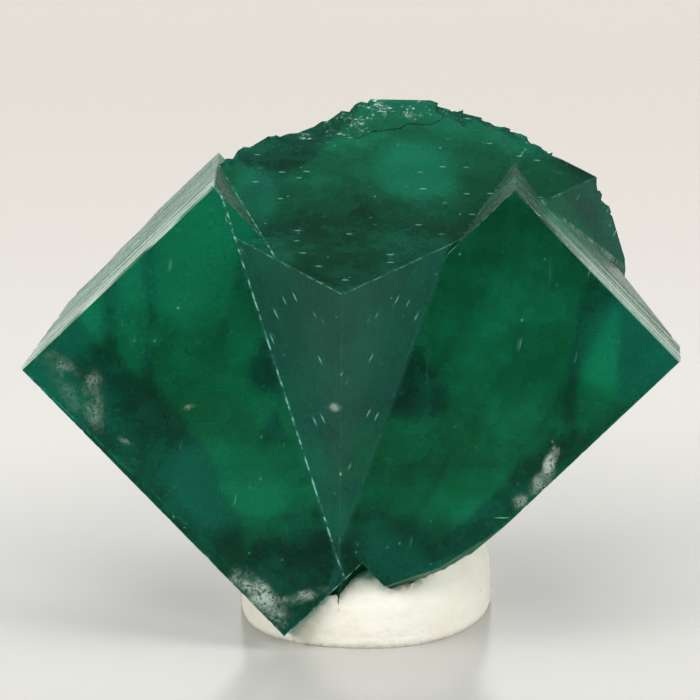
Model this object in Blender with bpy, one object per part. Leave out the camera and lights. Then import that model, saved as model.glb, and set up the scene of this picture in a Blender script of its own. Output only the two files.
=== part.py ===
"""A fluorite penetration twin, two cubes grown through each other, standing in a pad of putty.

The crystal is drawn in its own frame, in millimetres: x to the right and z up in the plane of the
big front faces, y into the crystal. It is then leaned back as it stands and made metres.
The first cube shows as two wings that share their face directions. The second cube follows from the
first by the twin law, a half turn about a cube diagonal. Its corner stands out between the wings as
a spearhead, and its top face spreads behind them to a broken rim.
"""
import math
import random

import bmesh
import bpy
from mathutils import Euler, Matrix, Vector

METRES = 0.001                # one millimetre
SPACE = 200.0                 # a start block larger than any piece

# Face directions of the first cube
FRONT = Vector((0, -1, 0))
BACK = -FRONT
UP_RIGHT = Vector((1, 0, 1)).normalized()
DOWN_RIGHT = Vector((1, 0, -1)).normalized()
UP_LEFT = -DOWN_RIGHT
DOWN_LEFT = -UP_RIGHT

# Face directions of the second cube, by the twin law
TWIN_AXIS = (DOWN_RIGHT - UP_RIGHT + FRONT).normalized()


def twinned(direction):
    """The direction after a half turn about the twin axis."""
    return 2 * direction.dot(TWIN_AXIS) * TWIN_AXIS - direction


SPEAR_LEFT = twinned(DOWN_RIGHT)
SPEAR_RIGHT = twinned(DOWN_LEFT)
SPEAR_BASE = twinned(FRONT)
SPEAR_TOP = -SPEAR_BASE


def between(*directions):
    """The cleavage direction midway between face directions."""
    total = Vector((0, 0, 0))
    for direction in directions:
        total += direction
    return total.normalized()


# Cleavage directions that show on the broken back
LEFT_TIP_WAY = between(DOWN_RIGHT, DOWN_LEFT, BACK)
LEFT_CORNER_WAY = between(UP_LEFT, DOWN_LEFT, BACK)
RIGHT_CORNER_WAY = between(DOWN_RIGHT, UP_RIGHT, BACK)
RIGHT_LOWER_WAY = LEFT_TIP_WAY
BACK_WAY = between(-SPEAR_LEFT, -SPEAR_RIGHT, SPEAR_BASE)
LEFT_HIND_WAY = between(SPEAR_LEFT, -SPEAR_RIGHT, SPEAR_BASE)
RIGHT_HIND_WAY = between(-SPEAR_LEFT, SPEAR_RIGHT, SPEAR_BASE)
UPPER_HIND_WAY = between(-SPEAR_LEFT, -SPEAR_RIGHT, SPEAR_TOP)

# The left wing: distances of its faces from the middle of the front
LEFT_FRONT = -0.35
LEFT_UPPER_FACE = 11.67
LEFT_SHORT_FACE = 9.05
LEFT_LOWER_FACE = 13.74
LEFT_INNER_WALL = 0.84
LEFT_BACK = 11.6
LEFT_BROKEN_SIDE = 14.14      # the thin lower left side, broken off at a slant
BROKEN_SIDE_WAY = 0.105 * UP_LEFT + 0.931 * DOWN_LEFT + 0.348 * BACK
LEFT_TIP_CLEAVAGE = 14.6
LEFT_CORNER_CLEAVAGE = 17.9

# The right wing
RIGHT_FRONT = 0.0
RIGHT_INNER_WALL = 0.16
RIGHT_LOWER_FACE = 12.91
RIGHT_UPPER_FACE = 12.60
RIGHT_BOTTOM_FACE = 7.77
RIGHT_BACK = 10.4
RIGHT_START = 0.38            # left of the middle the left wing's lower front face takes over
RIGHT_CORNER_CLEAVAGE = 17.3
RIGHT_LOWER_CLEAVAGE = 14.2

# Its broken lower right edge: a point on the outline, the break's lean, and its lean behind that
LOWER_BREAKS = (
    ((12.75, -4.1, 1.1), 0.19, 0.2), ((11.95, -6.7, 1.5), 0.46, 0.3), ((11.3, -7.8, 1.3), 0.75, 0.5),
)
LOWER_BREAK_FRONT_LEAN = 0.45

# The second cube
SPEAR_LEFT_FACE = 2.86
SPEAR_RIGHT_FACE = 2.32
TOP_FACE = 5.54
BASE_FACE = 14.55
UPPER_LEFT_LIMIT = 11.50      # it stays inside the left wing's upper face
BACK_CLEAVAGE = 12.7
LEFT_HIND_CLEAVAGE = 12.2
RIGHT_HIND_CLEAVAGE = 13.6

# The rim of the top face: distances behind the spearhead's left and right faces' directions
RIM = (
    (2.4, 12.8), (4.0, 13.25), (6.3, 13.3), (7.4, 13.1), (9.3, 12.7), (11.4, 12.9), (12.7, 13.0),
    (14.0, 13.0), (15.0, 12.0), (16.1, 11.1), (16.5, 7.1), (16.9, 4.0), (16.5, 0.4),
)
RIM_MIDDLE = (6.0, 5.0)
RIM_NOTCH_SPACING = 1.7
RIM_NOTCH_DEPTH = 0.28
RIM_LOBE = 0.08               # how far the rim swells beside a notch
# The rounded, broken right end, drawn on the spearhead's right face: distance back, way down
SHOULDER = (
    (10.2, -5.3), (16.4, -5.3), (17.7, -3.1), (18.4, -1.1), (19.0, 0.6), (19.1, 1.6), (18.4, 5.0),
    (14.0, 8.0), (10.2, 8.0),
)
SHOULDER_INSET = 0.1          # its flat facet lies just behind the spearhead's right face
SHOULDER_DEPTH = 8.0
# The lower step along the rim at the back of the top face
RIM_STEP = (
    (6.8, 12.0), (7.9, 11.5), (9.4, 10.8), (10.0, 9.8), (11.1, 9.9), (12.4, 9.1), (13.2, 9.2),
    (14.0, 8.2), (15.2, 8.4), (20.0, 7.6), (20.0, 20.0), (6.8, 20.0),
)
RIM_STEP_DEPTH = 0.22

# Growth grooves along the wings' upper side faces: distance behind the front, width, depth
LEFT_GROOVES = (
    (1.3, 0.25, 0.05), (2.6, 0.5, 0.09), (4.3, 0.35, 0.06), (6.2, 0.8, 0.12), (8.8, 0.5, 0.1),
)
RIGHT_GROOVES = ((0.9, 0.2, 0.05), (1.9, 0.45, 0.08), (3.2, 0.3, 0.06), (4.6, 0.5, 0.1))

# Cleavage steps on the second cube's back: where the step's riser lies, and the step's depth
BACK_STEPS = ((7.5, 0.45), (6.6, 0.7), (11.0, 0.2), (10.4, 0.95), (9.6, 1.2), (13.6, 0.35))
BACK_STEP_SHIFT = 0.3
# Cleavage steps on the wings' backs: how deep the wing still is there, and where the riser lies
LEFT_CORNER_STEPS = ((10.4, 15.6), (9.4, 16.6))
LEFT_TIP_STEP = (10.0, 13.2)
RIGHT_CORNER_STEP = (9.2, 15.6)
RIGHT_LOWER_STEP = (8.4, 12.2)

# Small crystals on the back, parallel to the first or the second cube: middle, half sizes
FIRST_SMALL_CUBES = (
    ((-8.3, 9.9, 2.4), (2.6, 2.0, 1.9)), ((-6.6, 10.2, 5.2), (1.5, 1.3, 1.9)),
    ((-10.9, 9.3, 0.6), (1.3, 2.0, 1.5)), ((8.2, 8.4, -2.6), (2.1, 1.8, 1.9)),
    ((6.2, 8.6, -5.4), (1.6, 2.0, 1.5)),
)
SECOND_SMALL_CUBES = (
    ((-2.6, 11.6, -2.2), (1.9, 2.1, 1.7)), ((2.6, 11.2, -3.6), (2.3, 1.6, 1.6)),
    ((0.4, 12.2, 0.2), (1.3, 1.5, 1.9)), ((-4.4, 9.6, -5.6), (1.8, 1.5, 1.7)),
)

# Chips: how many, their size and how deep they bite
CORNER_EDGE_CHIPS = (12, 0.5, 0.12)
STRAIGHT_EDGE_CHIPS = (7, 0.5, 0.14)
BROKEN_EDGE_CHIPS = (4, 0.6, 0.16)
SHORT_EDGE_CHIPS = (3, 0.45, 0.12)
RIM_CHIP_SPACING = 1.2
RIM_CHIP_SIZE = 0.75
RIM_CHIP_DEPTH = 0.22
SHOULDER_EDGE_CHIPS = (2, 1.0, 0.25)
SHOULDER_BREAK_CHIPS = (2, 1.7, 0.35)
SHOULDER_CHIP_ROWS = (-1.2, 0.6, 2.4, 4.2, 6.0, 7.8)
SHOULDER_ROW_TOP = (16.6, -5.54)     # where such a row starts: distance back, way down
SHOULDER_ROW_FOOT = (18.6, -0.9)     # and where it ends
# Where the chipped edges start and end, along them
CORNER_EDGE = (-11.0, 8.6)
STRAIGHT_EDGE = (8.0, -1.5)
SHORT_EDGE = (-11.6, -10.0)

# How the specimen stands
LEAN = Euler((math.radians(-7.55), math.radians(0.88), math.radians(-1.13)))
FRONT_MIDDLE_HEIGHT = 16.81

# The putty pad
PAD_CENTRE = Vector((0.75, 7.0, 0))
PAD_HALF_WIDTH = 7.0
PAD_HALF_DEPTH = 8.3
PAD_SIDES = 56
# Its side profile: height, and share of the outline
PAD_PROFILE = (
    (0.0, 0.98), (0.3, 1.0), (1.2, 1.0), (2.2, 0.985), (3.0, 0.955), (3.7, 0.89), (4.2, 0.79),
    (4.55, 0.62), (4.7, 0.4), (4.75, 0.18),
)
GAP = 0.3                     # between the putty and the crystal


def clear_scene():
    """Take every object out of the scene."""
    for old in list(bpy.data.objects):
        bpy.data.objects.remove(old, do_unlink=True)


def solid_inside(faces):
    """A closed convex solid inside faces, each an outward direction and its distance."""
    shape = bmesh.new()
    bmesh.ops.create_cube(shape, size=SPACE)
    for outward, distance in faces:
        outward = outward.normalized()
        everything = shape.verts[:] + shape.edges[:] + shape.faces[:]
        cut = bmesh.ops.bisect_plane(
            shape, geom=everything, dist=1e-5, plane_co=outward * distance, plane_no=outward,
            clear_outer=True)
        rim = [part for part in cut["geom_cut"] if isinstance(part, bmesh.types.BMEdge)]
        if rim:
            bmesh.ops.edgeloop_fill(shape, edges=rim)
    bmesh.ops.recalc_face_normals(shape, faces=shape.faces)
    return shape


def solid_beyond(faces):
    """Everything that lies outside all the given faces at once: a cutter for a stepped break."""
    return solid_inside([(-outward, -distance) for outward, distance in faces])


def prism(outline, place, start, end):
    """A closed prism: place(a, b, c) gives a point, outline its (a, b), start and end its c."""
    shape = bmesh.new()
    near = [shape.verts.new(place(a, b, start)) for a, b in outline]
    far = [shape.verts.new(place(a, b, end)) for a, b in outline]
    shape.faces.new(near)
    shape.faces.new(far)
    for i in range(len(outline)):
        j = (i + 1) % len(outline)
        shape.faces.new((near[i], near[j], far[j], far[i]))
    bmesh.ops.recalc_face_normals(shape, faces=shape.faces)
    return shape


def through(outward, point):
    """A face given by its outward direction and a point on it."""
    outward = outward.normalized()
    return outward, outward.dot(point)


def splinter(centre, size, chance):
    """A small convex lump with flat facets, which bites a chip out of an edge."""
    shape = bmesh.new()
    bmesh.ops.create_icosphere(shape, subdivisions=1, radius=1.0)
    squash = Vector([chance.uniform(0.6, 1.15) for axis in range(3)])
    turn = Euler([chance.uniform(0, math.tau) for axis in range(3)]).to_matrix()
    for vert in shape.verts:
        point = vert.co * chance.uniform(0.85, 1.1)
        vert.co = centre + turn @ (point * squash) * size
    hull = bmesh.ops.convex_hull(shape, input=shape.verts)
    loose = [part for part in hull["geom_interior"] if isinstance(part, bmesh.types.BMVert)]
    bmesh.ops.delete(shape, geom=loose, context="VERTS")
    bmesh.ops.recalc_face_normals(shape, faces=shape.faces)
    return shape


def as_object(shape, name):
    """A new object in the scene from a bmesh, which is used up."""
    mesh = bpy.data.meshes.new(name)
    shape.to_mesh(mesh)
    shape.free()
    made = bpy.data.objects.new(name, mesh)
    bpy.context.scene.collection.objects.link(made)
    return made


def combine(body, others, operation):
    """Join shapes to the body, or cut them out of it, one after the other."""
    for other in others:
        tool = as_object(other, "tool")
        step = body.modifiers.new("step", "BOOLEAN")
        step.operation = operation
        step.solver = "EXACT"
        step.object = tool
        evaluated = body.evaluated_get(bpy.context.evaluated_depsgraph_get())
        result = bpy.data.meshes.new_from_object(evaluated)
        body.modifiers.clear()
        old = body.data
        body.data = result
        bpy.data.meshes.remove(old)
        bpy.data.objects.remove(tool, do_unlink=True)


def in_second_cube(back_left, back_right, down):
    """A point by its distances behind the spearhead's two faces' directions and down its ridge."""
    return -back_left * SPEAR_LEFT - back_right * SPEAR_RIGHT + down * SPEAR_BASE


def in_first_cube(right_down, right_up, depth):
    """A point by its distances along the first cube's directions."""
    return right_down * DOWN_RIGHT + right_up * UP_RIGHT + depth * BACK


def left_wing(grow=0.0):
    """The first cube's left part, with its thin lower left side broken off at a slant."""
    return solid_inside([
        (FRONT, LEFT_FRONT + grow),
        (UP_LEFT, LEFT_UPPER_FACE + grow),
        (DOWN_RIGHT, LEFT_SHORT_FACE + grow),
        (DOWN_LEFT, LEFT_LOWER_FACE + grow),
        (UP_RIGHT, LEFT_INNER_WALL + grow),
        (BACK, LEFT_BACK + grow),
        (BROKEN_SIDE_WAY, LEFT_BROKEN_SIDE + grow),
        (LEFT_TIP_WAY, LEFT_TIP_CLEAVAGE + grow),
        (LEFT_CORNER_WAY, LEFT_CORNER_CLEAVAGE + grow),
    ])


def right_wing(grow=0.0):
    """The first cube's right part, cleaved behind its outer corner and broken along the bottom."""
    breaks = []
    for point, lean, behind in LOWER_BREAKS:
        outward = DOWN_RIGHT + lean * DOWN_LEFT
        for tilted in (outward + LOWER_BREAK_FRONT_LEAN * FRONT, outward + behind * BACK):
            direction, distance = through(tilted, in_first_cube(*point))
            breaks.append((direction, distance + grow))
    return solid_inside([
        (FRONT, RIGHT_FRONT + grow),
        (UP_LEFT, RIGHT_INNER_WALL + grow),
        (DOWN_RIGHT, RIGHT_LOWER_FACE + grow),
        (UP_RIGHT, RIGHT_UPPER_FACE + grow),
        (DOWN_LEFT, RIGHT_BOTTOM_FACE + grow),
        (Vector((-1, 0, 0)), RIGHT_START + grow),
        (BACK, RIGHT_BACK + grow),
        (RIGHT_CORNER_WAY, RIGHT_CORNER_CLEAVAGE + grow),
        (RIGHT_LOWER_WAY, RIGHT_LOWER_CLEAVAGE + grow),
        *breaks,
    ])


def notched_rim(chance):
    """The rim with a small notch every so often, as its broken edge has."""
    points = [RIM[0]]
    for here, there in zip(RIM, RIM[1:]):
        start = Vector(here)
        end = Vector(there)
        along = end - start
        inward = along.orthogonal().normalized()
        if inward.dot(Vector(RIM_MIDDLE) - start) < 0:
            inward = -inward
        count = max(1, round(along.length / RIM_NOTCH_SPACING))
        for number in range(count):
            share = (number + chance.uniform(0.3, 0.7)) / count
            width = chance.uniform(0.1, 0.3) / along.length
            depth = RIM_NOTCH_DEPTH * chance.uniform(0.4, 1.2)
            points.append(tuple(start + along * (share - width) - inward * RIM_LOBE))
            points.append(tuple(start + along * share + inward * depth))
        points.append(there)
    return points


def second_cube(outline, grow=0.0):
    """The second cube, from the spearhead to the rim."""
    left_end = (-SPEAR_LEFT_FACE, RIM[0][1])
    right_end = (RIM[-1][0], -SPEAR_RIGHT_FACE)
    corner = (-SPEAR_LEFT_FACE, -SPEAR_RIGHT_FACE)
    grown = []
    for back_left, back_right in [corner, left_end, *outline, right_end]:
        grown.append((
            back_left + math.copysign(grow, back_left - RIM_MIDDLE[0]),
            back_right + math.copysign(grow, back_right - RIM_MIDDLE[1])))
    return prism(grown, in_second_cube, -TOP_FACE - grow, BASE_FACE + grow)


def shoulder(grow=0.0):
    """The lump that rounds off the right end behind the right wing."""
    def place(back_left, down, back_right):
        return in_second_cube(back_left, back_right, down)
    return prism(SHOULDER, place, SHOULDER_INSET - SPEAR_RIGHT_FACE - grow, SHOULDER_DEPTH)


def second_cube_breaks(grow=0.0):
    """What is missing from the second cube: the cleaved back and the upper left corner."""
    return [
        solid_beyond([(BACK_WAY, BACK_CLEAVAGE + grow)]),
        solid_beyond([(UP_LEFT, UPPER_LEFT_LIMIT + grow)]),
        solid_beyond([(LEFT_HIND_WAY, LEFT_HIND_CLEAVAGE + grow)]),
        solid_beyond([(RIGHT_HIND_WAY, RIGHT_HIND_CLEAVAGE + grow)]),
    ]


def joined_crystals(name, outline, steps=((), (), ()), grow=0.0):
    """Both crystals grown through each other, each individual with the steps of its own back."""
    body = as_object(second_cube(outline, grow), name)
    combine(body, [shoulder(grow)], "UNION")
    combine(body, second_cube_breaks(grow), "DIFFERENCE")
    combine(body, steps[0], "DIFFERENCE")
    for wing, wing_steps in ((left_wing(grow), steps[1]), (right_wing(grow), steps[2])):
        part = as_object(wing, "wing")
        combine(part, wing_steps, "DIFFERENCE")
        stepped = bmesh.new()
        stepped.from_mesh(part.data)
        bpy.data.objects.remove(part, do_unlink=True)
        combine(body, [stepped], "UNION")
    return body


def small_cubes(chance):
    """Small crystals grown parallel to the two individuals, half sunk in the back."""
    made = []
    for axes, cubes in (
            ((DOWN_RIGHT, UP_RIGHT, BACK), FIRST_SMALL_CUBES),
            ((SPEAR_LEFT, SPEAR_RIGHT, SPEAR_BASE), SECOND_SMALL_CUBES)):
        for middle, half in cubes:
            faces = []
            for axis, size in zip(axes, half):
                at = Vector(middle).dot(axis)
                reach = size * chance.uniform(0.9, 1.1)
                faces += [(axis, at + reach), (-axis, reach - at)]
            made.append(solid_inside(faces))
    return made


def cleavage_steps(chance):
    """Stepped breaks across the back of the second cube, the left wing and the right wing."""
    second = []
    for number, (riser, depth) in enumerate(BACK_STEPS):
        way = (RIGHT_HIND_WAY, LEFT_HIND_WAY, UPPER_HIND_WAY)[number % 3]
        shift = chance.uniform(-BACK_STEP_SHIFT, BACK_STEP_SHIFT)
        second.append(solid_beyond([(BACK_WAY, BACK_CLEAVAGE - depth), (way, riser + shift)]))
    left = [solid_beyond([(BACK, deep), (LEFT_CORNER_WAY, riser)]) for deep, riser in LEFT_CORNER_STEPS]
    left.append(solid_beyond([(BACK, LEFT_TIP_STEP[0]), (LEFT_TIP_WAY, LEFT_TIP_STEP[1])]))
    right = [
        solid_beyond([(BACK, RIGHT_CORNER_STEP[0]), (RIGHT_CORNER_WAY, RIGHT_CORNER_STEP[1])]),
        solid_beyond([(BACK, RIGHT_LOWER_STEP[0]), (RIGHT_LOWER_WAY, RIGHT_LOWER_STEP[1])]),
    ]
    return second, left, right


def groove(outward, distance, start, width, depth):
    """A shallow cutter along a side face, parallel to its front edge."""
    on_face = outward * distance
    return solid_inside([
        (-outward, depth - distance),
        (outward, distance + 1.0),
        through(FRONT + 0.15 * outward, on_face + BACK * start),
        through(BACK - 0.5 * outward, on_face + BACK * (start + width)),
    ])


def growth_grooves():
    """The growth grooves of both upper side faces."""
    made = [groove(UP_LEFT, LEFT_UPPER_FACE, *numbers) for numbers in LEFT_GROOVES]
    made += [groove(UP_RIGHT, RIGHT_UPPER_FACE, *numbers) for numbers in RIGHT_GROOVES]
    return made


def edge_chips(start, end, count, size, depth, outward, chance):
    """Chips along an edge: lumps whose far side just reaches into the crystal."""
    made = []
    for number in range(count):
        share = (number + chance.uniform(0.15, 0.85)) / count
        lump = size * chance.uniform(0.5, 1.4)
        middle = start.lerp(end, share) + outward.normalized() * (lump * 0.9 - depth)
        made.append(splinter(middle, lump, chance))
    return made


def rim_chips(chance):
    """Chips all along the broken rim of the top face."""
    made = []
    middle = in_second_cube(*RIM_MIDDLE, -TOP_FACE)
    for here, there in zip(RIM, RIM[1:]):
        start = in_second_cube(*here, -TOP_FACE)
        end = in_second_cube(*there, -TOP_FACE)
        outward = ((start + end) / 2 - middle).normalized() + 0.9 * SPEAR_TOP
        count = max(1, round((end - start).length / RIM_CHIP_SPACING))
        made += edge_chips(start, end, count, RIM_CHIP_SIZE, RIM_CHIP_DEPTH, outward, chance)
    return made


def wing_chips(chance):
    """Chips along the wings' lower edges and on the short edge at the left wing's tip."""
    made = edge_chips(
        *(in_first_cube(along, -LEFT_LOWER_FACE, -LEFT_FRONT) for along in CORNER_EDGE),
        *CORNER_EDGE_CHIPS, DOWN_LEFT + 0.8 * FRONT, chance)
    made += edge_chips(
        *(in_first_cube(RIGHT_LOWER_FACE, along, RIGHT_FRONT) for along in STRAIGHT_EDGE),
        *STRAIGHT_EDGE_CHIPS, DOWN_RIGHT + 0.9 * FRONT, chance)
    for (start, *lean), (end, *next_lean) in zip(LOWER_BREAKS, LOWER_BREAKS[1:]):
        made += edge_chips(
            in_first_cube(*start), in_first_cube(*end),
            *BROKEN_EDGE_CHIPS, DOWN_RIGHT + 0.4 * DOWN_LEFT, chance)
    made += edge_chips(
        *(in_first_cube(LEFT_SHORT_FACE, along, -LEFT_FRONT) for along in SHORT_EDGE),
        *SHORT_EDGE_CHIPS, DOWN_RIGHT + FRONT, chance)
    return made


def shoulder_chips(chance):
    """The rough, faceted break over the shoulder."""
    def place_in_row(end, row):
        return in_second_cube(end[0], row, end[1])
    made = []
    for (back, down), (next_back, next_down) in zip(SHOULDER[1:6], SHOULDER[2:7]):
        made += edge_chips(
            in_second_cube(back, -SPEAR_RIGHT_FACE, down),
            in_second_cube(next_back, -SPEAR_RIGHT_FACE, next_down),
            *SHOULDER_EDGE_CHIPS, -SPEAR_LEFT + 0.5 * SPEAR_RIGHT, chance)
    for row in SHOULDER_CHIP_ROWS:
        made += edge_chips(
            place_in_row(SHOULDER_ROW_TOP, row), place_in_row(SHOULDER_ROW_FOOT, row),
            *SHOULDER_BREAK_CHIPS, SPEAR_TOP - 1.9 * SPEAR_LEFT, chance)
    return made


def rim_step():
    """The cutter that lowers the back of the top face by one growth step."""
    return prism(RIM_STEP, in_second_cube, -TOP_FACE - 1.0, RIM_STEP_DEPTH - TOP_FACE)


def make_twin():
    """The whole crystal with its breaks, ledges, grooves and chips."""
    chance = random.Random(7)
    twin = joined_crystals("fluorite_twin", notched_rim(chance), cleavage_steps(chance))
    combine(twin, small_cubes(chance), "UNION")
    combine(twin, growth_grooves() + [rim_step()], "DIFFERENCE")
    combine(twin, rim_chips(chance) + shoulder_chips(chance) + wing_chips(chance), "DIFFERENCE")
    return twin


def pad_radius(angle):
    """The putty outline's radius, as a share: a rounded square with a finger's unevenness."""
    square = (abs(math.cos(angle)) ** 2.5 + abs(math.sin(angle)) ** 2.5) ** (-1 / 2.5)
    return square * (1 + 0.018 * math.sin(3 * angle + 0.6) + 0.012 * math.sin(5 * angle + 2.0))


def putty_form():
    """The putty pad as a closed loft of rings."""
    shape = bmesh.new()
    rings = []
    for height, share in PAD_PROFILE:
        ring = []
        for number in range(PAD_SIDES):
            angle = math.tau * number / PAD_SIDES
            reach = share * pad_radius(angle)
            ring.append(shape.verts.new(PAD_CENTRE + Vector((
                PAD_HALF_WIDTH * reach * math.cos(angle),
                PAD_HALF_DEPTH * reach * math.sin(angle),
                height))))
        rings.append(ring)
    for low, high in zip(rings, rings[1:]):
        for i in range(PAD_SIDES):
            j = (i + 1) % PAD_SIDES
            shape.faces.new((low[i], low[j], high[j], high[i]))
    shape.faces.new(rings[0])
    shape.faces.new(rings[-1])
    bmesh.ops.recalc_face_normals(shape, faces=shape.faces)
    return shape


def material(name, colour, roughness):
    """A plain Principled material."""
    made = bpy.data.materials.new(name)
    made.use_nodes = True
    shader = made.node_tree.nodes["Principled BSDF"]
    shader.inputs["Base Color"].default_value = (*colour, 1)
    shader.inputs["Roughness"].default_value = roughness
    shader.inputs["Metallic"].default_value = 0
    return made


def stand(piece):
    """Lean the crystal back as it stands and lift it to its height."""
    height = Matrix.Translation((0, 0, FRONT_MIDDLE_HEIGHT))
    piece.data.transform(height @ LEAN.to_matrix().to_4x4())


def make_pad():
    """The putty pad, with the crystal's imprint a small gap wider than the crystal."""
    pad = as_object(putty_form(), "putty_pad")
    imprint = joined_crystals("imprint", RIM, grow=GAP)
    stand(imprint)
    cutter = bmesh.new()
    cutter.from_mesh(imprint.data)
    bpy.data.objects.remove(imprint, do_unlink=True)
    combine(pad, [cutter], "DIFFERENCE")
    return pad


def finish(piece, centre, made_of):
    """Centre the piece over the origin, make it metres and give it its material."""
    piece.data.transform(Matrix.Scale(METRES, 4) @ Matrix.Translation(-centre))
    piece.data.materials.clear()
    piece.data.materials.append(made_of)


clear_scene()
twin = make_twin()
stand(twin)
pad = make_pad()
across = [vert.co.x for piece in (twin, pad) for vert in piece.data.vertices]
along = [vert.co.y for piece in (twin, pad) for vert in piece.data.vertices]
box_centre = Vector(((min(across) + max(across)) / 2, (min(along) + max(along)) / 2, 0))
finish(twin, box_centre, material("green fluorite", (0.01, 0.09, 0.05), 0.1))
finish(pad, box_centre, material("white putty", (0.84, 0.82, 0.72), 0.7))
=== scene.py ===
"""The fluorite twin in its putty: surface relief, finishes, soft light and the camera."""
import math

import bmesh
import bpy
from mathutils import Euler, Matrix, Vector, bvhtree


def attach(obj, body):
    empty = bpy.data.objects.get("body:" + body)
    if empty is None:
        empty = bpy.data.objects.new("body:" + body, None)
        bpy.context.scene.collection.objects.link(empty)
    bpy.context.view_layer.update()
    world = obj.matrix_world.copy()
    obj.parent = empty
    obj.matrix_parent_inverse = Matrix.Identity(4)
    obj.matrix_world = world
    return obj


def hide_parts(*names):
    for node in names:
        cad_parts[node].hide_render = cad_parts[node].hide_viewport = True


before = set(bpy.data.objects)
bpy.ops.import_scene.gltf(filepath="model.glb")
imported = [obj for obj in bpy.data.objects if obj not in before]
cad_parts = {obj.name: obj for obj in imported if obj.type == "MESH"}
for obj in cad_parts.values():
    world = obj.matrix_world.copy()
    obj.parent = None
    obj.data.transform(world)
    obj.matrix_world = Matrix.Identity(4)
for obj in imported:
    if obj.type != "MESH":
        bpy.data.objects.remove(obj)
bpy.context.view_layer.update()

MM = 0.001

# Where the crystal's own frame lies: the middle of the front faces, and how the crystal leans
FRONT_MIDDLE = Vector((-0.065, -6.32, 16.81)) * MM
LEAN = Euler((math.radians(-7.55), math.radians(0.88), math.radians(-1.13)))

# Face directions of the first cube in that frame
FRONT = Vector((0, -1, 0))
BACK = -FRONT
UP_RIGHT = Vector((1, 0, 1)).normalized()
DOWN_RIGHT = Vector((1, 0, -1)).normalized()
UP_LEFT = -DOWN_RIGHT
DOWN_LEFT = -UP_RIGHT
TWIN_AXIS = (DOWN_RIGHT - UP_RIGHT + FRONT).normalized()


def twinned(direction):
    """The second cube's direction: a half turn about the twin axis."""
    return 2 * direction.dot(TWIN_AXIS) * TWIN_AXIS - direction


SPEAR_LEFT = twinned(DOWN_RIGHT)
SPEAR_RIGHT = twinned(DOWN_LEFT)
SPEAR_BASE = twinned(FRONT)

# Growth faces: outward direction, and distance from the middle of the front in millimetres
GROWTH_FACES = {
    "left front": (FRONT, -0.35),
    "right front": (FRONT, 0.0),
    "left strip": (UP_LEFT, 11.67),
    "right strip": (UP_RIGHT, 12.60),
    "left wall": (UP_RIGHT, 0.84),
    "right wall": (UP_LEFT, 0.16),
    "left spear": (SPEAR_LEFT, 2.86),
    "right spear": (SPEAR_RIGHT, 2.32),
    "top": (-SPEAR_BASE, 5.54),
    "lower left side": (DOWN_LEFT, 13.74),
    "lower right side": (DOWN_RIGHT, 12.91),
    "left tip side": (DOWN_RIGHT, 9.05),
}
FACE_DEPTH = 0.13                 # grooves and chips this shallow still belong to a growth face
RIM_STEP_DEPTH = 0.22             # the lower step along the top face's rim

# Edges that are worn pale and painted with a highlight, and how much
WORN_AND_LIT_EDGES = (
    ("left front", "left strip", 0.5), ("left front", "left wall", 0.35),
    ("left front", "lower left side", 0.45), ("left front", "left tip side", 0.8),
    ("left strip", "left wall", 0.6), ("right front", "right strip", 0.8),
    ("right front", "right wall", 0.5), ("right front", "lower right side", 0.45),
    ("right strip", "right wall", 0.5), ("left spear", "right spear", 0.25),
    ("left spear", "top", 0.45), ("right spear", "top", 0.4),
    ("left spear", "left front", 0.75), ("right spear", "right front", 0.2),
    ("left wall", "top", 0.55), ("right wall", "top", 0.4),
)
EDGE_WIDTH = 0.07

# Places on the front: where across and up from its middle, half sizes, turn in degrees, strength
# GLOWS and TOP_GLOWS are painted light: brighter places where light shows through the stone
GLOWS = (
    ((-8.6, 6.0), (5.0, 5.5), 0, 1.0), ((-6.6, -7.8), (3.6, 3.0), -30, 1.2),
    ((-15.8, 0.8), (2.4, 2.2), 0, 1.2), ((15.4, 0.2), (3.6, 3.0), 0, 1.4),
    ((2.4, -11.4), (2.6, 1.8), -40, 0.8), ((-15.8, -2.2), (2.8, 1.1), -45, 1.3),
    ((6.0, -12.2), (3.0, 1.0), 20, 0.7),
)
BRUISES = (
    ((-14.0, -3.0), (0.9, 1.9), 8, 0.5), ((-15.7, -1.4), (1.5, 0.9), -30, 0.45),
    ((11.0, -6.1), (0.45, 1.1), -15, 0.75), ((10.6, -7.1), (1.4, 0.6), 42, 0.6),
    ((9.5, -8.1), (0.7, 0.55), 40, 0.6), ((-4.6, -14.0), (2.3, 1.1), -48, 0.72),
    ((-2.6, -13.9), (1.7, 0.5), 18, 0.6), ((6.0, -12.6), (2.8, 0.5), 22, 0.35),
    ((-8.7, -3.4), (0.45, 0.2), 20, 0.55), ((-12.2, -5.4), (0.5, 0.22), -30, 0.5),
    ((-0.7, -2.7), (0.5, 0.3), 20, 0.55), ((-15.6, -2.5), (2.0, 0.8), -45, 0.35),
    ((-10.6, -9.3), (1.3, 0.25), -48, 0.5),
)
SCRATCHES = (
    ((10.8, 4.6), (0.04, 1.5), 0, 0.3), ((4.24, -1.1), (0.04, 1.9), 0, 0.3),
    ((8.5, -9.15), (0.6, 0.05), 2, 0.7), ((13.9, -4.9), (0.05, 0.5), 5, 0.5),
)
DARK_PLACES = (
    ((-4.6, -11.0), (3.2, 1.9), 10, 0.8), ((-12.0, -1.0), (4.5, 3.0), 40, 0.5),
    ((8.0, -3.0), (6.0, 6.0), 0, 0.3),
)

# The same for the shoulder facet painted bright as if lit, and for painted glows on the top face, across
# and back
LIT_FACET = (((11.4, 6.2), (1.9, 1.0), -45, 0.9),)
TOP_GLOWS = (((-5.6, 4.5), (1.6, 3.8), 0, 1.3), ((3.3, 8.0), (2.8, 3.4), 0, 1.1))

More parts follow.
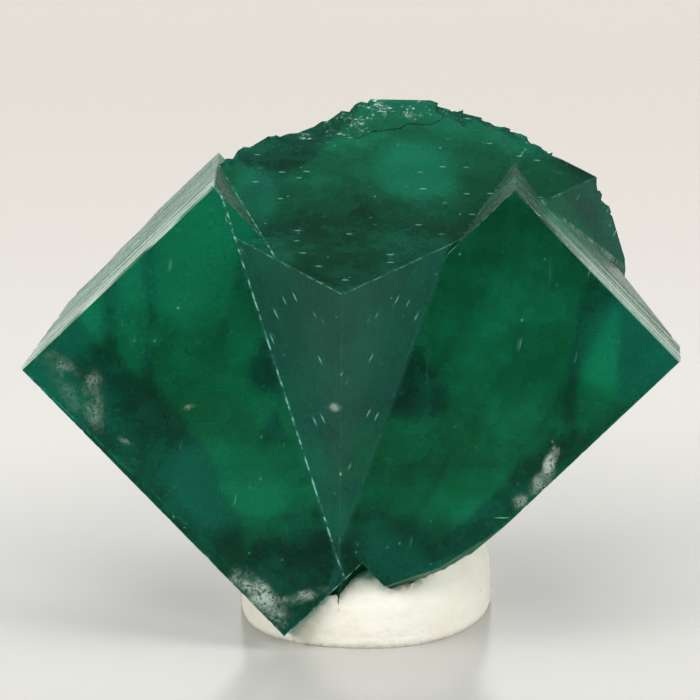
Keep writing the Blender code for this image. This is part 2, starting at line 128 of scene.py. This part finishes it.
# Where fine scratches run on each face: along, across, length, width, share of them, strength
DOWN_LEFT_SPEAR = (SPEAR_BASE * 0.8 + SPEAR_RIGHT * 0.6, SPEAR_RIGHT * 0.8 - SPEAR_BASE * 0.6)
DOWN_RIGHT_SPEAR = (SPEAR_BASE * 0.8 + SPEAR_LEFT * 0.6, SPEAR_LEFT * 0.8 - SPEAR_BASE * 0.6)
SCRATCHED_FACES = {
    "left spear": (*DOWN_LEFT_SPEAR, 1.7, 0.42, 0.55, 0.6),
    "right spear": (*DOWN_RIGHT_SPEAR, 1.6, 0.42, 0.55, 0.55),
    "top": ((1, 0, 0), BACK, 1.3, 0.45, 0.4, 0.5),
    "front": ((0.2, 0, 0.98), (0.98, 0, -0.2), 2.4, 0.32, 0.05, 0.4),
}

# Striations of the side strips, in millimetres
STRIATION_WIDTH = 0.16
STRIATION_LENGTH = 9.0

# Fluorite: its optics, and the dark and the bright colour seen through it and in its murk
REFRACTION = 1.434
REFLECTED = (0.25, 0.75, 0.62, 1)
SEEN_THROUGH = ((0.015, 0.50, 0.30, 1), (0.10, 0.98, 0.66, 1))
ABSORBING = {"Color": (0.0, 0.72, 0.53, 1), "Density": 420.0}
MURK = ((0.0, 0.045, 0.027, 1), (0.004, 0.19, 0.12, 1))
# Painted sheen: the grey-green reflection of the spear faces, put in their colour
SPEAR_SHEEN = (0.012, 0.105, 0.085, 1)
# Painted light: the colour of the shoulder facet painted as lit
LIT_COLOUR = (0.09, 0.40, 0.24, 1)
# Colour of fine marks and specks, also used for painted glints and painted edge highlights
MARK_AND_HIGHLIGHT = (0.24, 0.62, 0.48, 1)
# Colour of bruises, scuffs and frost, also used for the side strips' painted reflection
PALE_MARK_AND_SHEEN = (0.58, 0.70, 0.59, 1)

# Putty and table colours
PUTTY_COLOURS = ((0.86, 0.83, 0.71, 1), (0.93, 0.91, 0.81, 1))
DUST = (0.45, 0.43, 0.36, 1)
TABLE_IN_FRONT = (0.485, 0.475, 0.445, 1)
TABLE_BEHIND = (0.312, 0.262, 0.193, 1)

# The attribute that says where a surface is rough: 1 on broken faces and worked putty
ROUGH = "rough"

# Relief, in millimetres: longest mesh edge, how deep, and how wide a lump is
BREAK_STEP = 0.3
REFINE_TURNS = 9
BREAK_RELIEF = {"Depth": 0.09, "Lump": 1.1, "Fine Depth": 0.035, "Fine Lump": 0.28}
PUTTY_STEP = 0.35
PUTTY_RELIEF = {"Depth": 0.14, "Lump": 4.5, "Fine Depth": 0.03, "Fine Lump": 0.9}
PRESSED = 0.42                    # putty this near the crystal is pressed up to it
CONTACT = 0.06                    # and keeps this much clear of it

# Camera
CAMERA_ELEVATION = math.radians(18)
CAMERA_DISTANCE = 0.5512
CAMERA_LENS = 520.15

# Stage, in metres and watts: the lamps' places, sizes and powers
TABLE_HALF = 0.26
ROOM_BRIGHTNESS = 0.06
SOFTBOXES = (
    ("top softbox", (0.0, 0.02, 0.6), (0.45, 0.35), 1.7),
    ("front softbox", (0.0, -0.42, 0.45), (0.3, 0.2), 1.3),
    ("left softbox", (-0.45, -0.25, 0.3), (0.3, 0.3), 2.3),
    ("right softbox", (0.5, -0.15, 0.3), (0.3, 0.3), 2.3),
    ("back softbox", (0.0, 0.7, 0.16), (0.7, 0.2), 1.1),
)
AIM = Vector((0, 0, 0.01))


class Wire:
    """A shader value that adds Math nodes when it is used in an expression."""

    def __init__(self, paint, socket):
        self.paint = paint
        self.socket = socket

    def math(self, operation, *values):
        return self.paint.node("ShaderNodeMath", {"operation": operation}, dict(enumerate(values)))

    def __add__(self, other):
        return self.math("ADD", self, other)

    __radd__ = __add__

    def __mul__(self, other):
        return self.math("MULTIPLY", self, other)

    __rmul__ = __mul__

    def __sub__(self, other):
        return self.math("SUBTRACT", self, other)

    def __rsub__(self, other):
        return self.math("SUBTRACT", other, self)

    def __truediv__(self, other):
        return self.math("DIVIDE", self, other)

    def __abs__(self):
        return self.math("ABSOLUTE", self)

    def times_plus(self, factor, extra):
        """The value times a factor, plus something."""
        return self.math("MULTIPLY_ADD", self, factor, extra)

    def near(self, value, reach):
        """1 where the value is within reach of the given one, else 0."""
        return self.math("COMPARE", self, value, reach)

    def most(self, other):
        return self.math("MAXIMUM", self, other)

    def ramp(self, start, end, low=0.0, high=1.0):
        """From low at start to high at end, smooth between and level outside."""
        return self.paint.node("ShaderNodeMapRange", {"interpolation_type": "SMOOTHSTEP"}, {
            "Value": self, "From Min": start, "From Max": end, "To Min": low, "To Max": high})


class Paint:
    """A material being built from nodes."""

    def __init__(self, name):
        self.material = bpy.data.materials.new(name)
        self.material.use_nodes = True
        self.tree = self.material.node_tree
        self.tree.nodes.clear()

    def node(self, kind, settings=None, inputs=None, output=0):
        """Add a node: its type, its settings, and the values or wires of its sockets."""
        made = self.tree.nodes.new(kind)
        for key, value in (settings or {}).items():
            setattr(made, key, value)
        for key, value in (inputs or {}).items():
            if isinstance(value, Wire):
                self.tree.links.new(value.socket, made.inputs[key])
            else:
                made.inputs[key].default_value = value
        return Wire(self, made.outputs[output]) if made.outputs else None

    def along(self, point, direction):
        """How far a point lies along a direction."""
        return self.node("ShaderNodeVectorMath", {"operation": "DOT_PRODUCT"},
                         {0: point, 1: tuple(direction)}, "Value")

    def joined(self, x, y, z):
        return self.node("ShaderNodeCombineXYZ", {}, {0: x, 1: y, 2: z})

    def noise(self, point, scale, detail=2.0, roughness=0.5):
        return self.node("ShaderNodeTexNoise", {}, {
            "Vector": point, "Scale": scale, "Detail": detail, "Roughness": roughness})

    def cells(self, point, scale=1.0):
        """Voronoi cells: the distance to the middle of each, and a random number of its own."""
        distance = self.node(
            "ShaderNodeTexVoronoi", {}, {"Vector": point, "Scale": scale}, "Distance")
        colour = Wire(self, distance.socket.node.outputs["Color"])
        return distance, self.node("ShaderNodeSeparateColor", {}, {0: colour})

    def blend(self, share, first, second):
        """A colour between two colours."""
        return self.node("ShaderNodeMix", {"data_type": "RGBA"}, {0: share, 6: first, 7: second}, 2)

    def finish(self, surface, volume=None):
        inputs = {"Surface": surface}
        if volume is not None:
            inputs["Volume"] = volume
        self.node("ShaderNodeOutputMaterial", {}, inputs)
        return self.material


def crystal_point(paint):
    """The place on the surface in the crystal's own frame, in millimetres."""
    here = paint.node("ShaderNodeTexCoord", output="Object")
    return paint.node("ShaderNodeMapping", {"vector_type": "TEXTURE"}, {
        "Vector": here, "Location": tuple(FRONT_MIDDLE), "Rotation": tuple(LEAN),
        "Scale": (MM, MM, MM)})


def patches(x, z, places, ragged):
    """Oval places on a face, with ragged soft edges: their strengths where they lie."""
    total = None
    for (across, up), (half_across, half_up), turn, strength in places:
        cos = math.cos(math.radians(turn))
        sin = math.sin(math.radians(turn))
        u = x.times_plus(cos / half_across, z.times_plus(
            sin / half_across, -(across * cos + up * sin) / half_across))
        v = x.times_plus(-sin / half_up, z.times_plus(
            cos / half_up, (across * sin - up * cos) / half_up))
        patch = u.times_plus(u, v.times_plus(v, ragged)).ramp(1.2, -0.2, 0.0, strength)
        total = patch if total is None else total.most(patch)
    return total


def streaks(paint, point, along, across, length, width, share):
    """Short fine scratches that run one way: drawn-out cells, of which a share is filled."""
    stretched = paint.joined(
        paint.along(point, along) / length, paint.along(point, across) / width, 0.5)
    distance, pick = paint.cells(stretched)
    return distance.ramp(0.26, 0.08) * pick.ramp(1 - share, 1.02 - share)


def worn_and_lit_edges(paint, point, gaps):
    """Thin pale lines where two growth faces meet, part wear and part painted highlight, broken up into
    dots and dashes.
    """
    beside = {name: gap.ramp(EDGE_WIDTH, 0.02) for name, gap in gaps.items()}
    # Wear and painted edge highlight along each pair of faces
    worn = None
    for first, second, strength in WORN_AND_LIT_EDGES:
        line = beside[first] * beside[second] * strength
        worn = line if worn is None else worn.most(line)
    return worn * (0.15 + 0.85 * paint.noise(point, 2.4, 2.0, 0.6).ramp(0.4, 0.6))


def scratches_specks_and_glints(paint, point, on, grain, broken):
    """Fine scratches on the growth faces, specks everywhere and painted glints on broken faces."""
    speck, speck_pick = paint.cells(point, 1.7)
    # Painted glints: bright sparkle on the broken faces
    painted_glints = paint.cells(point, 2.6)[0].ramp(0.3, 0.1) * broken
    marks_and_glints = speck.ramp(0.24, 0.08) * speck_pick.ramp(0.7, 0.85) * grain.ramp(0.42, 0.58) * 0.5
    marks_and_glints = marks_and_glints + painted_glints * 0.8
    for name, (*run, strength) in SCRATCHED_FACES.items():
        marks_and_glints = marks_and_glints + streaks(paint, point, *run) * on[name] * strength
    return marks_and_glints


def fluorite():
    """Clear deep green fluorite, murky within, with scuffed edges and fine scratches, and painted light:
    glows, a lit facet, edge highlights, glints, and a sheen on the spear and the side strips.
    """
    paint = Paint("green fluorite")
    point = crystal_point(paint)
    broken = paint.node("ShaderNodeAttribute", {"attribute_name": ROUGH}, output="Fac")
    gaps = {
        name: abs(paint.along(point, direction) - distance)
        for name, (direction, distance) in GROWTH_FACES.items()}
    on = {name: gap.near(0.0, FACE_DEPTH) for name, gap in gaps.items()}
    front = on["front"] = on["left front"].most(on["right front"])
    spear = on["left spear"].most(on["right spear"])
    x = paint.along(point, (1, 0, 0))
    z = paint.along(point, (0, 0, 1))
    depth_in = paint.along(point, BACK)
    clouds = paint.noise(point, 0.21, 1.0, 0.55)
    murk = paint.noise(point, 0.85, 3.0, 0.62)
    grain = paint.noise(point, 5.0, 2.0, 0.65)

    # Painted glows where light shows through the stone, darker places, bruises and long scratches
    ragged = (grain - 0.5) * 2.6 + (murk - 0.5) * 3.0
    wavy = (murk - 0.5) * 1.2
    glow = (patches(x, z, GLOWS, wavy) * front).most(
        patches(x, depth_in, TOP_GLOWS, wavy) * on["top"])
    dark = patches(x, z, DARK_PLACES, (murk - 0.5) * 1.6) * front
    bruise = patches(x, z, BRUISES, ragged) * front.most(spear) * grain.ramp(0.3, 0.55, 0.35, 1.0)
    scratch = patches(x, z, SCRATCHES, 0.0) * front
    marks_and_glints = scratches_specks_and_glints(paint, point, on, grain, broken) + scratch
    # Fine marks plus painted edge highlights and painted glints
    marks_and_highlights = (marks_and_glints + worn_and_lit_edges(paint, point, gaps)).ramp(0.0, 1.0)

    # The side strips are striated parallel to their front edge; their paleness is a painted reflection,
    # whitest beside that edge
    lines_at = paint.joined(
        depth_in / STRIATION_WIDTH, paint.along(point, UP_RIGHT) / STRIATION_LENGTH, 0.0)
    stripes = paint.noise(lines_at, 1.0, 3.0, 0.7)
    along_right = paint.along(point, DOWN_RIGHT).ramp(1.0, 6.0, 0.2, 0.78)
    strip = on["left strip"].most(on["right strip"] * along_right)
    strip_sheen = strip * stripes.ramp(0.3, 0.62) * depth_in.ramp(0.5, 6.0, 1.05, 0.55)

    # The shoulder and the back are scuffed, with a painted lit facet on the shoulder, and the rim's
    # lower step is frosted
    sides = front.most(strip).most(on["left wall"]).most(on["right wall"]).most(spear)
    behind = (1 - sides) * depth_in.ramp(0.4, 0.9)
    # Painted light: the shoulder facet painted bright as if lit
    lit_facet = patches(x, z, LIT_FACET, ragged * 0.3) * behind
    scuffs = (1 - on["top"]) * behind * (grain + murk * 0.4).ramp(0.80, 0.92) * 0.35
    rim_band = gaps["top"].near(RIM_STEP_DEPTH, 0.05) * (1 - sides) + broken * 0.5
    frost = rim_band * (murk + grain * 0.5).ramp(0.72, 1.0)
    # Pale colour: bruises, scuffs and frost, plus the strips' painted reflection
    pale = (bruise + strip_sheen + scuffs + frost * 0.5).ramp(0.0, 1.0)

    height = grain * (0.012 + broken * 0.06) + murk * 0.02 + stripes * strip * 0.05
    bump = paint.node("ShaderNodeBump", {}, {"Strength": 0.35, "Distance": MM, "Height": height})
    # Painted glows brighten the colour seen through the stone
    bright = clouds.ramp(0.36, 0.66) * 0.6 + glow * 0.6 - dark * 0.5
    clear = paint.node("ShaderNodeBsdfPrincipled", {}, {
        "Base Color": paint.blend(bright.ramp(0.0, 1.0), *SEEN_THROUGH),
        "Roughness": 0.27 + broken * 0.25 + murk.ramp(0.5, 0.75) * 0.08,
        "IOR": REFRACTION, "Transmission Weight": 1.0, "Specular Tint": REFLECTED,
        "Coat Weight": 0.18, "Coat Roughness": 0.04, "Normal": bump})

    # A thin veil of murk and marks over the clear stone, with painted light in it too: glows, the spear
    # sheen, the lit facet, edge highlights, glints and the strips' reflection
    # The murk is painted paler where the glows are
    thick = murk * 0.38 + grain * 0.27 + clouds * 0.35 + glow * 0.25 - dark * 0.12
    body = paint.blend(thick.ramp(0.38, 0.72), *MURK)
    # Layers: painted spear sheen, painted lit facet, fine marks with painted glints and edge highlights,
    # pale marks with the strips' painted reflection
    layers = (
        (spear * 0.75, SPEAR_SHEEN), (lit_facet, LIT_COLOUR), (marks_and_highlights, MARK_AND_HIGHLIGHT), (pale, PALE_MARK_AND_SHEEN))
    for share, colour in layers:
        body = paint.blend(share, body, colour)
    veil = paint.node("ShaderNodeBsdfPrincipled", {}, {
        "Base Color": body, "Roughness": 0.5, "IOR": REFRACTION,
        "Specular Tint": REFLECTED, "Normal": bump})
    # The veil is thicker on the spear sheen, the lit facet, the pale marks and the painted highlights
    veiled = (0.26 + clouds.ramp(0.35, 0.7) * 0.1 + grain.ramp(0.45, 0.75) * 0.08 + spear * 0.16
              + pale.most(marks_and_highlights).most(lit_facet) * 0.6)
    surface = paint.node("ShaderNodeMixShader", {}, {0: veiled, 1: clear, 2: veil})
    return paint.finish(surface, paint.node("ShaderNodeVolumeAbsorption", {}, ABSORBING))


def putty():
    """Matte off-white putty, a little mottled and dusty."""
    paint = Paint("off-white putty")
    here = paint.node("ShaderNodeTexCoord", output="Object")
    lumps = paint.noise(here, 350.0, 3.0, 0.55)
    fine = paint.noise(here, 2600.0, 3.0, 0.6)
    dust = paint.cells(here, 900.0)[0].ramp(0.09, 0.04)
    colour = paint.blend(lumps.ramp(0.3, 0.7), *PUTTY_COLOURS)
    colour = paint.blend(dust * 0.5, colour, DUST)
    bump = paint.node("ShaderNodeBump", {}, {
        "Strength": 0.5, "Distance": 0.12 * MM, "Height": fine + lumps})
    surface = paint.node("ShaderNodeBsdfPrincipled", {}, {
        "Base Color": colour, "Roughness": 0.62 + lumps * 0.2, "Normal": bump})
    return paint.finish(surface)


def table_finish():
    """The pale table: near white in front, darker and warmer behind."""
    paint = Paint("pale table")
    here = paint.node("ShaderNodeTexCoord", output="Object")
    behind = paint.along(here, (0, 1, 0)).ramp(0.0, 0.12)
    colour = paint.blend(behind, TABLE_IN_FRONT, TABLE_BEHIND)
    surface = paint.node("ShaderNodeBsdfPrincipled", {}, {"Base Color": colour, "Roughness": 0.22})
    return paint.finish(surface)


def relief_tree():
    """Geometry nodes that roughen a surface inwards, where its weight says so."""
    tree = bpy.data.node_groups.new("relief", "GeometryNodeTree")
    tree.interface.new_socket("Geometry", in_out="OUTPUT", socket_type="NodeSocketGeometry")
    tree.interface.new_socket("Geometry", in_out="INPUT", socket_type="NodeSocketGeometry")
    for name in BREAK_RELIEF:
        tree.interface.new_socket(name, in_out="INPUT", socket_type="NodeSocketFloat")
    tree.interface.new_socket("Finish", in_out="INPUT", socket_type="NodeSocketMaterial")

    def add(kind, settings=None, inputs=None):
        made = tree.nodes.new(kind)
        for key, value in (settings or {}).items():
            setattr(made, key, value)
        for key, value in (inputs or {}).items():
            if isinstance(value, bpy.types.NodeSocket):
                tree.links.new(value, made.inputs[key])
            else:
                made.inputs[key].default_value = value
        return made

    def maths(operation, first, second):
        return add("ShaderNodeMath", {"operation": operation}, {0: first, 1: second}).outputs[0]

    given = add("NodeGroupInput").outputs
    depth = None
    for deep, lump, shift in (("Depth", "Lump", 0.0), ("Fine Depth", "Fine Lump", 3.7)):
        scale = maths("DIVIDE", 1.0, given[lump])
        lumps = add("ShaderNodeTexNoise", {"noise_dimensions": "4D"}, {
            "Vector": add("GeometryNodeInputPosition").outputs[0], "W": shift, "Scale": scale,
            "Detail": 2.0}).outputs["Fac"]
        part = maths("MULTIPLY", lumps, given[deep])
        depth = part if depth is None else maths("ADD", depth, part)
    weight = add("GeometryNodeInputNamedAttribute", {"data_type": "FLOAT"}, {"Name": ROUGH})
    inward = maths("MULTIPLY", maths("MULTIPLY", depth, weight.outputs["Attribute"]), -1.0)
    offset = add("ShaderNodeVectorMath", {"operation": "SCALE"}, {
        0: add("GeometryNodeInputNormal").outputs[0], "Scale": inward}).outputs[0]
    moved = add("GeometryNodeSetPosition", {}, {"Geometry": given["Geometry"], "Offset": offset})
    real = add("GeometryNodeRealizeInstances", {}, {"Geometry": moved.outputs[0]})
    worn = add("GeometryNodeSetMaterial", {}, {"Geometry": real.outputs[0], "Material": given["Finish"]})
    add("NodeGroupOutput", {}, {"Geometry": worn.outputs[0]})
    return tree


def with_relief(piece, tree, sizes, finish):
    """Put the relief on a piece and make the result its plain mesh. Sizes are in millimetres."""
    step = piece.modifiers.new("relief", "NODES")
    step.node_group = tree
    for socket in tree.interface.items_tree:
        if socket.in_out == "INPUT" and socket.name in sizes:
            step[socket.identifier] = sizes[socket.name] * MM
        if socket.name == "Finish":
            step[socket.identifier] = finish
    evaluated = piece.evaluated_get(bpy.context.evaluated_depsgraph_get())
    mesh = bpy.data.meshes.new_from_object(evaluated)
    piece.modifiers.remove(step)
    piece.data = mesh


def merged_copy(node):
    """A bmesh of a CAD node with its loose triangles joined into plain faces."""
    shape = bmesh.new()
    shape.from_mesh(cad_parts[node].data)
    bmesh.ops.remove_doubles(shape, verts=shape.verts, dist=1e-3 * MM)
    bmesh.ops.dissolve_limit(
        shape, angle_limit=math.radians(0.3), verts=shape.verts, edges=shape.edges)
    bmesh.ops.triangulate(shape, faces=shape.faces, ngon_method="BEAUTY")
    shape.normal_update()
    return shape


def as_piece(shape, name):
    """A new object from a bmesh, which is used up."""
    mesh = bpy.data.meshes.new(name)
    shape.to_mesh(mesh)
    shape.free()
    made = bpy.data.objects.new(name, mesh)
    bpy.context.scene.collection.objects.link(made)
    return made


def refine(shape, wanted, step):
    """Split the long edges of the wanted faces, over and over, down to a step."""
    for _ in range(REFINE_TURNS):
        long_edges = {
            edge for face in shape.faces if wanted(face)
            for edge in face.edges if edge.calc_length() > step}
        if not long_edges:
            break
        bmesh.ops.subdivide_edges(shape, edges=list(long_edges), cuts=1)
        split = [face for face in shape.faces if len(face.verts) > 3]
        bmesh.ops.triangulate(shape, faces=split, ngon_method="BEAUTY")
    shape.normal_update()


def is_grown(face):
    """Whether a face of the crystal is a growth face, or lies in one of the big ones."""
    turn = LEAN.to_matrix().inverted()
    corners = [turn @ (vert.co - FRONT_MIDDLE) / MM for vert in face.verts]
    for direction, distance in GROWTH_FACES.values():
        if all(abs(corner.dot(direction) - distance) < FACE_DEPTH for corner in corners):
            return True
    normal = turn @ face.normal
    ways = (FRONT, UP_RIGHT, DOWN_RIGHT, SPEAR_LEFT, SPEAR_RIGHT, SPEAR_BASE)
    return any(abs(normal.dot(way)) > 0.9999 for way in ways)


def crystal_surface(tree):
    """The crystal: its growth faces stay plane, and its broken faces get relief."""
    shape = merged_copy("fluorite_twin")
    grown = shape.faces.layers.int.new("grown")
    for face in shape.faces:
        face[grown] = is_grown(face)
    refine(shape, lambda face: not face[grown], BREAK_STEP * MM)
    weight = shape.verts.layers.float.new(ROUGH)
    for vert in shape.verts:
        vert[weight] = not any(face[grown] for face in vert.link_faces)
    for face in shape.faces:
        face.smooth = not face[grown]
    piece = as_piece(shape, "fluorite_surface")
    with_relief(piece, tree, BREAK_RELIEF, fluorite())
    return piece


def putty_surface(tree, crystal):
    """The putty, worked by fingers and pressed up to the crystal."""
    shape = merged_copy("putty_pad")
    refine(shape, lambda face: True, PUTTY_STEP * MM)
    stone = bvhtree.BVHTree.FromPolygons(
        [vert.co for vert in crystal.data.vertices], [face.vertices for face in crystal.data.polygons])
    weight = shape.verts.layers.float.new(ROUGH)
    for vert in shape.verts:
        touched, _, _, gap = stone.find_nearest(vert.co)
        if gap < PRESSED * MM and vert.co.z > CONTACT * MM:
            vert.co = touched + (vert.co - touched) * (CONTACT * MM / gap)
        else:
            vert[weight] = min(1.0, vert.co.z / (0.5 * MM))
    for face in shape.faces:
        face.smooth = True
    piece = as_piece(shape, "putty_surface")
    with_relief(piece, tree, PUTTY_RELIEF, putty())
    return piece


def stage_table():
    """A flat pale table top that belongs to the stage."""
    mesh = bpy.data.meshes.new("table")
    corners = [(across * TABLE_HALF, along * TABLE_HALF, 0)
               for across, along in ((-1, -1), (1, -1), (1, 1), (-1, 1))]
    mesh.from_pydata(corners, [], [(0, 1, 2, 3)])
    mesh.materials.append(table_finish())
    made = bpy.data.objects.new("table", mesh)
    bpy.context.scene.collection.objects.link(made)


def softbox(name, place, size, power):
    """A soft rectangular lamp that faces the specimen."""
    data = bpy.data.lights.new(name, "AREA")
    data.shape = "RECTANGLE"
    data.size, data.size_y = size
    data.energy = power
    made = bpy.data.objects.new(name, data)
    made.location = place
    towards = AIM - Vector(place)
    made.rotation_euler = towards.to_track_quat("-Z", "Y").to_euler()
    bpy.context.scene.collection.objects.link(made)


def dim_room():
    """An even dim room around the table, and plain colours in the render."""
    world = bpy.data.worlds.new("room")
    world.use_nodes = True
    world.node_tree.nodes["Background"].inputs["Color"].default_value = (*(ROOM_BRIGHTNESS,) * 3, 1)
    bpy.context.scene.world = world
    bpy.context.scene.view_settings.view_transform = "Standard"


def camera():
    """The camera at the photograph's angle, aimed at the middle of the front faces."""
    data = bpy.data.cameras.new("camera")
    data.lens = CAMERA_LENS
    data.sensor_width = 36
    data.clip_start = 0.01
    data.clip_end = 10
    made = bpy.data.objects.new("camera", data)
    towards = Vector((0, -math.cos(CAMERA_ELEVATION), math.sin(CAMERA_ELEVATION)))
    made.location = FRONT_MIDDLE + towards * CAMERA_DISTANCE
    made.rotation_euler = (math.pi / 2 - CAMERA_ELEVATION, 0, 0)
    bpy.context.scene.collection.objects.link(made)
    bpy.context.scene.camera = made


camera()
relief = relief_tree()
crystal = crystal_surface(relief)
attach(crystal, "root")
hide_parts("fluorite_twin")
pad = putty_surface(relief, crystal)
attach(pad, "root")
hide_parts("putty_pad")

stage_table()
for lamp in SOFTBOXES:
    softbox(*lamp)
dim_room()
